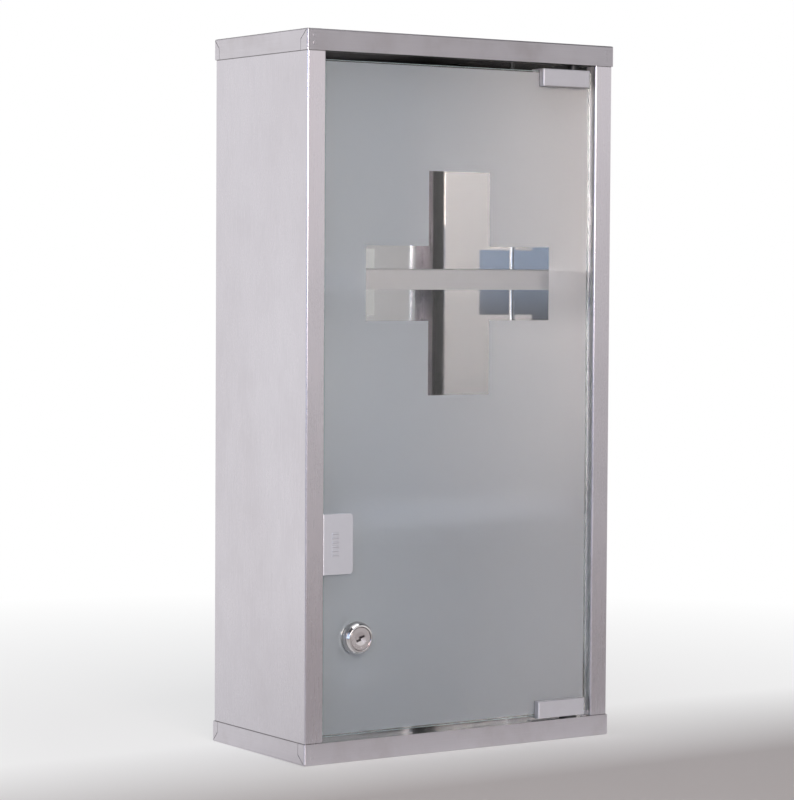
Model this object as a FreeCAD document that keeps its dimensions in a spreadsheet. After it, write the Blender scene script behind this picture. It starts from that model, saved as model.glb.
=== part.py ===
# Wall-hung medicine cabinet: a folded stainless case with two shelves, a frosted glass door that turns on
# two pivot clamps, a cam lock and a magnetic push latch.
# X runs left to right with zero at mid-width, Y runs from the front to the wall with zero at mid-depth of the
# case, Z runs up with zero under the bottom cap. All lengths are millimetres.
import FreeCAD
import Part
import Sketcher
import os

SIZES = {
    # folded case, measured over the caps
    "case_width": 250.0,
    "case_depth": 120.0,
    "case_height": 480.0,
    "sheet_gauge": 0.8,
    "bend_inside": 0.4,
    "skirt_height": 14.0,
    "strip_width": 14.2,
    "return_depth": 10.0,
    "rear_flange": 12.0,
    "lip_depth": 14.0,
    "lip_end_gap": 0.3,
    "tab_front": 8.0,
    "tab_rear": 6.6,
    "tab_seam": 0.3,
    "wall_hole_dia": 6.0,
    "wall_hole_inset_x": 35.0,
    "wall_hole_inset_z": 40.0,
    # shelves, the upper face of one counted from the top of the case and of the other from its base
    "upper_shelf_drop": 155.0,
    "lower_shelf_height": 168.0,
    "shelf_lip": 14.0,
    "shelf_setback": 22.0,
    # glass door and its frosting
    "glass_thickness": 4.0,
    "glass_setback": 4.0,
    "glass_edge_bevel": 0.4,
    "door_side_gap": 1.6,
    "door_top_gap": 5.3,
    "door_bottom_gap": 3.3,
    "film_thickness": 0.2,
    "film_margin": 1.0,
    "cross_span": 150.0,
    "cross_arm": 50.0,
    "cross_drop": 145.4,
    # pivot clamps
    "clamp_length": 39.6,
    "clamp_height": 12.0,
    "clamp_jaw": 4.5,
    "clamp_roof": 1.0,
    "clamp_inset": 6.5,
    "clamp_rounding": 0.8,
    "liner_gauge": 0.5,
    "pivot_inset": 16.0,
    "pivot_dia": 6.0,
    "pivot_reach": 4.5,
    "pivot_tip_bevel": 0.6,
    "clamp_screw_dia": 4.0,
    "clamp_screw_pitch": 22.0,
    "clamp_screw_recess": 0.4,
    "hex_socket": 2.0,
    "hex_socket_depth": 1.8,
    # bushes that carry the pivots
    "bush_stem_dia": 8.0,
    "bush_stem_drop": 6.0,
    "bush_flange_dia": 11.8,
    "bush_collar": 1.5,
    "bush_skirt_gap": 0.2,
    # strike clip round the free edge of the glass
    "clip_gauge": 0.8,
    "clip_reach": 22.4,
    "clip_height": 40.0,
    "clip_corner": 3.0,
    # cam lock
    "lock_inset": 25.7,
    "lock_height": 81.2,
    "bezel_flange": 2.0,
    "bezel_rim_wall": 1.65,
    "bezel_proud": 6.0,
    "bezel_land": 1.0,
    "bezel_bevel": 0.5,
    "gasket_thickness": 0.5,
    "barrel_wall": 1.5,
    "barrel_tail": 5.3,
    "washer_thickness": 0.6,
    "washer_flange": 3.5,
    "nut_thickness": 4.0,
    "nut_wall": 2.0,
    "plug_dia": 15.0,
    "plug_recess": 0.4,
    "plug_dimple_dia": 9.0,
    "plug_dimple_depth": 0.8,
    "keyway_length": 7.0,
    "keyway_width": 1.5,
    "keyway_depth": 9.0,
    "keyway_tilt": 15.0,
    "cam_square": 7.0,
    "cam_gauge": 1.6,
    "cam_length": 34.0,
    "cam_width": 13.0,
    "cam_corner": 4.0,
    "cam_screw_dia": 4.0,
    "cam_screw_depth": 6.0,
    "cam_screw_head_dia": 12.0,
    "cam_screw_head": 2.2,
    "cam_screw_slot": 1.2,
    # push latch behind the strike clip, hung under the lower shelf
    "latch_headroom": 3.0,
    "latch_reach": 6.5,
    "latch_body_width": 18.0,
    "latch_body_height": 14.0,
    "latch_body_length": 46.0,
    "latch_rounding": 1.2,
    "latch_neck": 3.0,
    "latch_wall": 1.2,
    "latch_stem_dia": 8.0,
    "latch_collar": 2.0,
    "latch_guide_dia": 7.0,
    "latch_guide_length": 10.0,
    "latch_spring_wall": 0.9,
    "latch_cap_plug": 3.0,
    "latch_cap_flange": 1.2,
    "magnet_dia": 6.0,
    "magnet_thickness": 2.5,
    "strike_gap": 0.3,
    "ear_width": 8.0,
    "ear_length": 20.0,
    "ear_thickness": 3.0,
    "latch_screw_dia": 3.0,
    "latch_screw_head_dia": 5.6,
    "latch_screw_head": 2.0,
    "latch_screw_tail": 2.5,
    "bracket_gauge": 1.2,
    "bracket_drop": 25.0,
    # fits
    "running_play": 0.05,
    "seat_gap": 0.05,
    "thrust_gap": 0.1,
    "overrun": 1.0,
}

doc = FreeCAD.newDocument("MedicineCabinet")
sheet = doc.addObject("Spreadsheet::Sheet", "Sizes")
for row, (alias, value) in enumerate(SIZES.items(), start=1):
    sheet.set(f"A{row}", alias)
    sheet.set(f"B{row}", str(value))
    sheet.setAlias(f"B{row}", alias)
doc.recompute()

# Places that several pieces share, worked out from the sheet. Depths are counted from the wall, where every
# piece is drawn, and WALL_Y is where the wall lies in the finished frame.
WALL_Y = "(Sizes.case_depth / 2)"
CASE_HALF = "(Sizes.case_width / 2)"
BODY_HALF = f"({CASE_HALF} - Sizes.sheet_gauge)"
INSIDE_HALF = f"({BODY_HALF} - Sizes.sheet_gauge)"
OPENING_HALF = f"({BODY_HALF} - Sizes.strip_width)"
STRIP_DEPTH = "(Sizes.case_depth - Sizes.sheet_gauge)"
BACK_INSIDE = "(3 * Sizes.sheet_gauge)"
BEND_OUTSIDE = "(Sizes.sheet_gauge + Sizes.bend_inside)"
PANEL_LENGTH = "(Sizes.case_height - 2 * Sizes.sheet_gauge)"
GLASS_HALF = f"({OPENING_HALF} - Sizes.door_side_gap)"
GLASS_FRONT = "(Sizes.case_depth - Sizes.glass_setback)"
GLASS_BACK = f"({GLASS_FRONT} - Sizes.glass_thickness)"
FILM_BACK = f"({GLASS_BACK} - Sizes.film_thickness)"
GLASS_TOP = "(Sizes.case_height - Sizes.skirt_height - Sizes.door_top_gap)"
GLASS_BOTTOM = "(Sizes.skirt_height + Sizes.door_bottom_gap)"
PIVOT_X = f"({OPENING_HALF} - Sizes.pivot_inset)"
PIVOT_Y = f"(-{GLASS_FRONT} + Sizes.glass_thickness / 2)"
CLAMP_CREST = "(Sizes.liner_gauge + Sizes.clamp_roof)"
CROSS_Z = f"({GLASS_TOP} - Sizes.cross_drop)"
LOCK_X = f"(-{GLASS_HALF} + Sizes.lock_inset)"
BARREL_RADIUS = "(Sizes.plug_dia / 2 + Sizes.barrel_wall)"
WASHER_RADIUS = f"({BARREL_RADIUS} + Sizes.washer_flange)"
PANE_STACK = "(Sizes.glass_thickness + Sizes.film_thickness)"
BARREL_END = f"({PANE_STACK} + Sizes.barrel_tail)"
LATCH_X = f"(-{GLASS_HALF} + Sizes.clip_reach / 2)"
CLIP_BACK = f"({FILM_BACK} - Sizes.seat_gap - Sizes.clip_gauge)"
LATCH_TIP_Y = f"(-{CLIP_BACK} + Sizes.strike_gap)"
LATCH_TOP = "(Sizes.lower_shelf_height - Sizes.shelf_lip - Sizes.latch_headroom)"
LATCH_Z = f"({LATCH_TOP} - Sizes.latch_body_height / 2)"
BRACKET_TOP = f"({LATCH_TOP} - Sizes.latch_body_height)"
EAR_SPAN = "(Sizes.latch_body_width + 2 * Sizes.ear_width)"
EAR_SCREW_X = "((Sizes.latch_body_width + Sizes.ear_width) / 2)"
EAR_MIDDLE = "(Sizes.latch_reach + Sizes.latch_body_length / 2)"
CHAMBER_RADIUS = "(Sizes.latch_body_height / 2 - Sizes.latch_wall)"
CHAMBER_START = "(Sizes.latch_reach + Sizes.latch_neck)"
LATCH_END = "(Sizes.latch_reach + Sizes.latch_body_length)"
MATCH = 1e-4

parts = []


def number(expression):
    """The value of an expression on the sheet."""
    return float(sheet.evalExpression(expression))


def near(first, second):
    return abs(first - second) < MATCH


def place_part(part, x, y, z):
    """Binds a part's place, with its depth counted from the wall, and lists it to be written out."""
    for axis, place in zip("xyz", (x, f"{WALL_Y} + {y}", z)):
        part.setExpression(f"Placement.Base.{axis}", place)
    parts.append(part)


def new_body(label, x="0", y="0", z="0", turn=0.0):
    """A body at its place, turned about Y."""
    body = doc.addObject("PartDesign::Body", label)
    body.Label = label
    body.Placement = FreeCAD.Placement(FreeCAD.Vector(), FreeCAD.Rotation(FreeCAD.Vector(0, 1, 0), turn))
    place_part(body, x, y, z)
    return body


def sketch_on(body, role, offset="0"):
    """A sketch on one of the body's own planes, moved along that plane's normal."""
    sketch = body.newObject("Sketcher::SketchObject", f"{body.Name}_sketch")
    plane = [feature for feature in body.Origin.OriginFeatures if feature.Role == role][0]
    sketch.AttachmentSupport = [(plane, "")]
    sketch.MapMode = "FlatFace"
    sketch.setExpression("AttachmentOffset.Base.z", offset)
    return sketch


def pin_point(sketch, geometry, position, x, y):
    """Ties a point of the sketch to its place from the sketch's origin."""
    for kind, place in (("DistanceX", x), ("DistanceY", y)):
        tie = sketch.addConstraint(Sketcher.Constraint(kind, -1, 1, geometry, position, number(place)))
        sketch.setExpression(f"Constraints[{tie}]", place)


def outline(sketch, points):
    """A closed outline of straight lines through points written as expressions."""
    corners = [FreeCAD.Vector(number(x), number(y), 0) for x, y in points]
    first = sketch.GeometryCount
    count = len(corners)
    for index, corner in enumerate(corners):
        sketch.addGeometry(Part.LineSegment(corner, corners[(index + 1) % count]), False)
    for index, (x, y) in enumerate(points):
        follower = first + (index + 1) % count
        sketch.addConstraint(Sketcher.Constraint("Coincident", first + index, 2, follower, 1))
        pin_point(sketch, first + index, 1, x, y)


def rectangle(sketch, x_low, y_low, x_high, y_high):
    outline(sketch, [(x_low, y_low), (x_high, y_low), (x_high, y_high), (x_low, y_high)])


def circle(sketch, x, y, radius):
    centre = FreeCAD.Vector(number(x), number(y), 0)
    ring = sketch.addGeometry(Part.Circle(centre, FreeCAD.Vector(0, 0, 1), number(radius)), False)
    pin_point(sketch, ring, 3, x, y)
    tie = sketch.addConstraint(Sketcher.Constraint("Radius", ring, number(radius)))
    sketch.setExpression(f"Constraints[{tie}]", radius)


def pad(body, sketch, length, reverse=False):
    feature = body.newObject("PartDesign::Pad", f"{body.Name}_pad")
    feature.Profile = sketch
    feature.Reversed = reverse
    feature.setExpression("Length", length)
    doc.recompute()
    return feature


def pocket(body, sketch, depth, reverse=False):
    """A cut that has to take something away."""
    before = body.Shape.Volume
    feature = body.newObject("PartDesign::Pocket", f"{body.Name}_pocket")
    feature.Profile = sketch
    feature.Reversed = reverse
    feature.setExpression("Length", depth)
    doc.recompute()
    if not body.Shape.Volume < before:
        raise ValueError(f"a cut in {body.Label} removes nothing")
    return feature


def turned(body, sketch, kind="PartDesign::Revolution"):
    """A full turn of a sketch about its own vertical axis, added or cut away."""
    feature = body.newObject(kind, f"{body.Name}_turned")
    feature.Profile = sketch
    feature.ReferenceAxis = (sketch, ["V_Axis"])
    feature.Angle = 360
    doc.recompute()
    return feature


def dress(body, kind, size_name, size, test):
    """A fillet or chamfer on the edges that the test picks."""
    base = body.Tip
    names = [f"Edge{index}" for index, edge in enumerate(base.Shape.Edges, start=1) if test(edge)]
    if not names:
        raise ValueError(f"no edge to dress on {body.Label}")
    feature = body.newObject(kind, f"{body.Name}_edges")
    feature.Base = (base, names)
    feature.setExpression(size_name, size)
    doc.recompute()
    return feature


def fillet(body, radius, test):
    return dress(body, "PartDesign::Fillet", "Radius", radius, test)


def chamfer(body, size, test):
    return dress(body, "PartDesign::Chamfer", "Size", size, test)


def runs_along(edge, axis):
    """Whether a straight edge is parallel to a row axis."""
    box = edge.BoundBox
    spans = {"x": box.XLength, "y": box.YLength, "z": box.ZLength}
    own = spans.pop(axis)
    return own > MATCH and max(spans.values()) < MATCH


def group(label, pattern, places, x="0", y="0", z="0"):
    """Separate copies of one fastener, kept together as one node."""
    node = doc.addObject("Part::Feature", label)
    node.Label = label
    node.Shape = Part.makeCompound([pattern.translated(place) for place in places])
    place_part(node, x, y, z)


def make_side_panel(label, side):
    """Side sheet with its front strip, the strip's return flange and the rear flange, side is -1 or 1."""
    body = new_body(label, z="Sizes.sheet_gauge")
    profile = sketch_on(body, "XY_Plane")
    front = f"-{STRIP_DEPTH}"
    strip_inside = f"(-{STRIP_DEPTH} + Sizes.sheet_gauge)"
    return_end = f"(-{STRIP_DEPTH} + Sizes.return_depth)"
    rear = "-Sizes.sheet_gauge"
    rear_inside = "(-2 * Sizes.sheet_gauge)"
    flange_end = f"({BODY_HALF} - Sizes.rear_flange)"
    return_outside = f"({OPENING_HALF} + Sizes.sheet_gauge)"
    points = [
        (flange_end, rear),
        (BODY_HALF, rear),
        (BODY_HALF, front),
        (OPENING_HALF, front),
        (OPENING_HALF, return_end),
        (return_outside, return_end),
        (return_outside, strip_inside),
        (INSIDE_HALF, strip_inside),
        (INSIDE_HALF, rear_inside),
        (flange_end, rear_inside),
    ]
    outline(profile, [(f"{side} * {x}", y) for x, y in points])
    pad(body, profile, PANEL_LENGTH)
    folds = [(BODY_HALF, rear), (BODY_HALF, front), (OPENING_HALF, front)]
    corners = [(side * number(x), number(y)) for x, y in folds]

    def is_fold(edge):
        start = edge.Vertexes[0].Point
        return runs_along(edge, "z") and any(near(start.x, x) and near(start.y, y) for x, y in corners)

    fillet(body, BEND_OUTSIDE, is_fold)


def make_back_panel():
    """Flat back between the side panels, with four screw holes for the wall."""
    body = new_body("back_panel")
    face = sketch_on(body, "XZ_Plane", "2 * Sizes.sheet_gauge")
    top = "Sizes.case_height - Sizes.sheet_gauge"
    rectangle(face, f"-{INSIDE_HALF}", "Sizes.sheet_gauge", INSIDE_HALF, top)
    for across in (-1, 1):
        for up in (-1, 1):
            x = f"{across} * ({CASE_HALF} - Sizes.wall_hole_inset_x)"
            z = f"Sizes.case_height / 2 + {up} * (Sizes.case_height / 2 - Sizes.wall_hole_inset_z)"
            circle(face, x, z, "Sizes.wall_hole_dia / 2")
    pad(body, face, "Sizes.sheet_gauge")


def fold_pan(body, half_width, y_front, y_rear, height):
    """A flat sheet at the body's zero level with a skirt folded up from all four edges."""
    gauge = "Sizes.sheet_gauge"
    face = sketch_on(body, "XY_Plane")
    rectangle(face, f"-{half_width}", y_front, half_width, y_rear)
    pad(body, face, height)
    hollow = sketch_on(body, "XY_Plane", gauge)
    inner_half = f"({half_width} - {gauge})"
    rectangle(hollow, f"-{inner_half}", f"{y_front} + {gauge}", inner_half, f"{y_rear} - {gauge}")
    pocket(body, hollow, height, reverse=True)
    half = number(half_width)
    front = number(y_front)
    rear = number(y_rear)

    def is_fold(edge):
        box = edge.BoundBox
        on_side = near(abs(box.XMin), half) and near(box.XMin, box.XMax)
        on_end = near(box.YMin, box.YMax) and (near(box.YMin, front) or near(box.YMin, rear))
        corner = runs_along(edge, "z") and on_side and on_end
        rim = near(box.ZMax, 0) and (on_side or on_end)
        return corner or rim

    fillet(body, BEND_OUTSIDE, is_fold)


def make_cap(label, z, turn, pivot_side):
    """Cap pan with corner tabs and a front lip that holds the pivot bush, turned over for the top."""
    body = new_body(label, z=z, turn=turn)
    fold_pan(body, CASE_HALF, "-Sizes.case_depth", "0", "Sizes.skirt_height")
    lip = sketch_on(body, "XY_Plane", "Sizes.skirt_height - Sizes.sheet_gauge")
    lip_half = f"({OPENING_HALF} - Sizes.lip_end_gap)"
    lip_edge = "(-Sizes.case_depth + Sizes.lip_depth)"
    rectangle(lip, f"-{lip_half}", "-Sizes.case_depth + Sizes.sheet_gauge / 2", lip_half, lip_edge)
    pad(body, lip, "Sizes.sheet_gauge")
    seat = sketch_on(body, "XY_Plane", "Sizes.skirt_height")
    circle(seat, f"{pivot_side} * {PIVOT_X}", PIVOT_Y, "Sizes.bush_stem_dia / 2 + Sizes.seat_gap")
    pocket(body, seat, "2 * Sizes.sheet_gauge")
    half_height = "(Sizes.skirt_height / 2)"
    for side in (-1, 1):
        seams = sketch_on(body, "YZ_Plane", f"{side} * {CASE_HALF}")
        for edge, inward, tab in (("-Sizes.case_depth", 1, "Sizes.tab_front"), ("0", -1, "Sizes.tab_rear")):
            corner = f"({edge} + {inward} * {BEND_OUTSIDE})"
            fold = f"({edge} + {inward} * {tab})"
            far = f"({fold} + {inward} * Sizes.tab_seam)"
            open_end = "(Sizes.skirt_height + Sizes.overrun)"
            outline(seams, [
                (corner, BEND_OUTSIDE),
                (fold, half_height),
                (fold, open_end),
                (far, open_end),
                (far, f"({half_height} - Sizes.tab_seam)"),
                (f"({corner} + {inward} * Sizes.tab_seam)", f"({BEND_OUTSIDE} - Sizes.tab_seam)"),
            ])
        pocket(body, seams, "Sizes.sheet_gauge", reverse=side < 0)


def make_shelf(label, height):
    """Fixed shelf, a pan turned over so that its front skirt is the lip that shows through the glass."""
    body = new_body(label, z=height, turn=180.0)
    front = "-Sizes.case_depth + Sizes.shelf_setback"
    fold_pan(body, INSIDE_HALF, front, f"-{BACK_INSIDE}", "Sizes.shelf_lip")


def make_door_glass():
    """Toughened pane with ground edges and the hole for the lock barrel."""
    body = new_body("door_glass")
    face = sketch_on(body, "XZ_Plane", GLASS_BACK)
    rectangle(face, f"-{GLASS_HALF}", GLASS_BOTTOM, GLASS_HALF, GLASS_TOP)
    circle(face, LOCK_X, "Sizes.lock_height", f"{BARREL_RADIUS} + Sizes.seat_gap")
    pad(body, face, "Sizes.glass_thickness")
    half = number(GLASS_HALF)
    top = number(GLASS_TOP)
    bottom = number(GLASS_BOTTOM)

    def is_rim(edge):
        box = edge.BoundBox
        upright = runs_along(edge, "z") and near(abs(box.XMin), half)
        level = runs_along(edge, "x") and (near(box.ZMin, top) or near(box.ZMin, bottom))
        return upright or level

    chamfer(body, "Sizes.glass_edge_bevel", is_rim)


def make_frost_film():
    """Frosted layer on the back of the pane, left clear over the cross and round the lock."""
    body = new_body("frost_film")
    face = sketch_on(body, "XZ_Plane", FILM_BACK)
    half = f"({GLASS_HALF} - Sizes.film_margin)"
    bottom = f"{GLASS_BOTTOM} + Sizes.film_margin"
    rectangle(face, f"-{half}", bottom, half, f"{GLASS_TOP} - Sizes.film_margin")
    span = "Sizes.cross_span / 2"
    arm = "Sizes.cross_arm / 2"
    right_half = [
        (arm, span),
        (arm, arm),
        (span, arm),
        (span, f"-{arm}"),
        (arm, f"-{arm}"),
        (arm, f"-{span}"),
    ]
    cross = right_half + [(f"-({x})", f"-({z})") for x, z in right_half]
    outline(face, [(x, f"{CROSS_Z} + {z}") for x, z in cross])
    circle(face, LOCK_X, "Sizes.lock_height", f"{WASHER_RADIUS} + Sizes.film_margin")
    pad(body, face, "Sizes.film_thickness")


def make_clamp(name, z, turn, hand, pin_length):
    """Cast clamp over the glass edge with its pivot pin, the pivot at the origin and the glass below."""
    body = new_body(f"{name}_hinge_clamp", PIVOT_X, PIVOT_Y, z, turn)
    end = f"({hand} * (Sizes.pivot_inset - Sizes.clamp_inset))"
    start = f"({end} - {hand} * Sizes.clamp_length)"
    left = start if hand > 0 else end
    slot_front = "(-Sizes.glass_thickness / 2 - Sizes.liner_gauge)"
    slot_back = "(Sizes.glass_thickness / 2 + Sizes.film_thickness + Sizes.liner_gauge)"
    face_front = f"({slot_front} - Sizes.clamp_jaw)"
    face_back = f"({slot_back} + Sizes.clamp_jaw)"
    foot = f"({CLAMP_CREST} - Sizes.clamp_height)"
    section = sketch_on(body, "YZ_Plane", left)
    outline(section, [
        (face_front, foot),
        (slot_front, foot),
        (slot_front, "Sizes.liner_gauge"),
        (slot_back, "Sizes.liner_gauge"),
        (slot_back, foot),
        (face_back, foot),
        (face_back, CLAMP_CREST),
        (face_front, CLAMP_CREST),
    ])
    pad(body, section, "Sizes.clamp_length")
    faces = (number(face_front), number(face_back))

    def is_outer(edge):
        box = edge.BoundBox
        return near(box.YMin, box.YMax) and any(near(box.YMin, face) for face in faces)

    fillet(body, "Sizes.clamp_rounding", is_outer)
    pin = sketch_on(body, "XY_Plane", CLAMP_CREST)
    circle(pin, "0", "0", "Sizes.pivot_dia / 2 - Sizes.running_play")
    pad(body, pin, pin_length)
    tip = number(CLAMP_CREST) + number(pin_length)
    chamfer(body, "Sizes.pivot_tip_bevel", lambda edge: near(edge.BoundBox.ZMin, tip))
    middle = f"({end} - {hand} * Sizes.clamp_length / 2)"
    screw_z = f"(({foot}) / 2)"
    holes = sketch_on(body, "XZ_Plane", f"-{face_back}")
    for side in (-1, 1):
        circle(holes, f"{middle} + {side} * Sizes.clamp_screw_pitch / 2", screw_z,
               "Sizes.clamp_screw_dia / 2 + Sizes.seat_gap")
    pocket(body, holes, "Sizes.clamp_jaw", reverse=True)

    liner = new_body(f"{name}_clamp_liner", PIVOT_X, PIVOT_Y, z, turn)
    sleeve = sketch_on(liner, "YZ_Plane", left)
    glass_front = "(-Sizes.glass_thickness / 2)"
    glass_back = "(Sizes.glass_thickness / 2 + Sizes.film_thickness)"
    outline(sleeve, [
        (slot_front, foot),
        (glass_front, foot),
        (glass_front, "0"),
        (glass_back, "0"),
        (glass_back, foot),
        (slot_back, foot),
        (slot_back, "Sizes.liner_gauge"),
        (slot_front, "Sizes.liner_gauge"),
    ])
    pad(liner, sleeve, "Sizes.clamp_length")

    upright = 1 if turn == 0.0 else -1
    places = []
    for side in (-1, 1):
        x = upright * number(f"{middle} + {side} * Sizes.clamp_screw_pitch / 2")
        places.append(FreeCAD.Vector(x, number(slot_back), upright * number(screw_z)))
    group(f"{name}_clamp_screws", make_grub_screw(), places, PIVOT_X, PIVOT_Y, z)


def make_grub_screw():
    """Socket grub screw along Y, its point at the origin and its hexagon socket at the far end."""
    radius = number("Sizes.clamp_screw_dia / 2")
    length = number("Sizes.clamp_jaw - Sizes.clamp_screw_recess")
    depth = number("Sizes.hex_socket_depth")
    corner = number("Sizes.hex_socket / sqrt(3)")
    along = FreeCAD.Vector(0, 1, 0)
    shank = Part.makeCylinder(radius, length, FreeCAD.Vector(), along)
    points = []
    for step in range(7):
        spoke = FreeCAD.Rotation(along, step * 60.0).multVec(FreeCAD.Vector(corner, 0, 0))
        points.append(spoke + FreeCAD.Vector(0, length - depth, 0))
    socket = Part.Face(Part.makePolygon(points)).extrude(along * (2 * depth))
    return shank.cut(socket)


def make_bushes():
    """Plastic bushes with the pivot bores, each drawn with zero on the outer face of its cap's lip."""
    bore = "Sizes.pivot_dia / 2"
    stem = "Sizes.bush_stem_dia / 2"
    stem_end = "-Sizes.bush_stem_drop"

    lower = new_body("lower_pivot_bush", PIVOT_X, PIVOT_Y, "Sizes.skirt_height")
    half = sketch_on(lower, "XZ_Plane")
    flange = "Sizes.bush_flange_dia / 2"
    flange_top = f"(Sizes.door_bottom_gap - {CLAMP_CREST} - Sizes.thrust_gap)"
    outline(half, [
        (bore, stem_end),
        (stem, stem_end),
        (stem, "0"),
        (flange, "0"),
        (flange, flange_top),
        (bore, flange_top),
    ])
    turned(lower, half)

    upper = new_body("upper_pivot_bush", PIVOT_X, PIVOT_Y, "Sizes.case_height - Sizes.skirt_height", 180.0)
    half = sketch_on(upper, "XZ_Plane")
    skirt_inside = "(Sizes.glass_setback + Sizes.glass_thickness / 2 - Sizes.sheet_gauge)"
    collar = f"({skirt_inside} - Sizes.bush_skirt_gap)"
    lip_inside = "(-Sizes.sheet_gauge)"
    outline(half, [
        (bore, stem_end),
        (stem, stem_end),
        (stem, f"({lip_inside} - Sizes.bush_collar)"),
        (collar, f"({lip_inside} - Sizes.bush_collar)"),
        (collar, lip_inside),
        (stem, lip_inside),
        (stem, "0"),
        (bore, "0"),
    ])
    turned(upper, half)


def make_strike_clip():
    """Bent steel clip round the free edge of the pane, pushed in front and held by the magnet behind."""
    body = new_body("strike_clip", z=f"{LATCH_Z} - Sizes.clip_height / 2")
    inner_edge = f"(-{GLASS_HALF} - Sizes.seat_gap)"
    outer_edge = f"({inner_edge} - Sizes.clip_gauge)"
    free_edge = f"(-{GLASS_HALF} + Sizes.clip_reach)"
    inner_front = f"(-{GLASS_FRONT} - Sizes.seat_gap)"
    outer_front = f"({inner_front} - Sizes.clip_gauge)"
    inner_back = f"(-{FILM_BACK} + Sizes.seat_gap)"
    outer_back = f"-{CLIP_BACK}"
    section = sketch_on(body, "XY_Plane")
    outline(section, [
        (free_edge, outer_front),
        (free_edge, inner_front),
        (inner_edge, inner_front),
        (inner_edge, inner_back),
        (free_edge, inner_back),
        (free_edge, outer_back),
        (outer_edge, outer_back),
        (outer_edge, outer_front),
    ])
    pad(body, section, "Sizes.clip_height")
    free = number(free_edge)
    outer = number(outer_edge)
    fillet(body, "Sizes.clip_corner", lambda edge: runs_along(edge, "y") and near(edge.BoundBox.XMin, free))
    fillet(body, "Sizes.clip_gauge", lambda edge: runs_along(edge, "z") and near(edge.BoundBox.XMin, outer))


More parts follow.
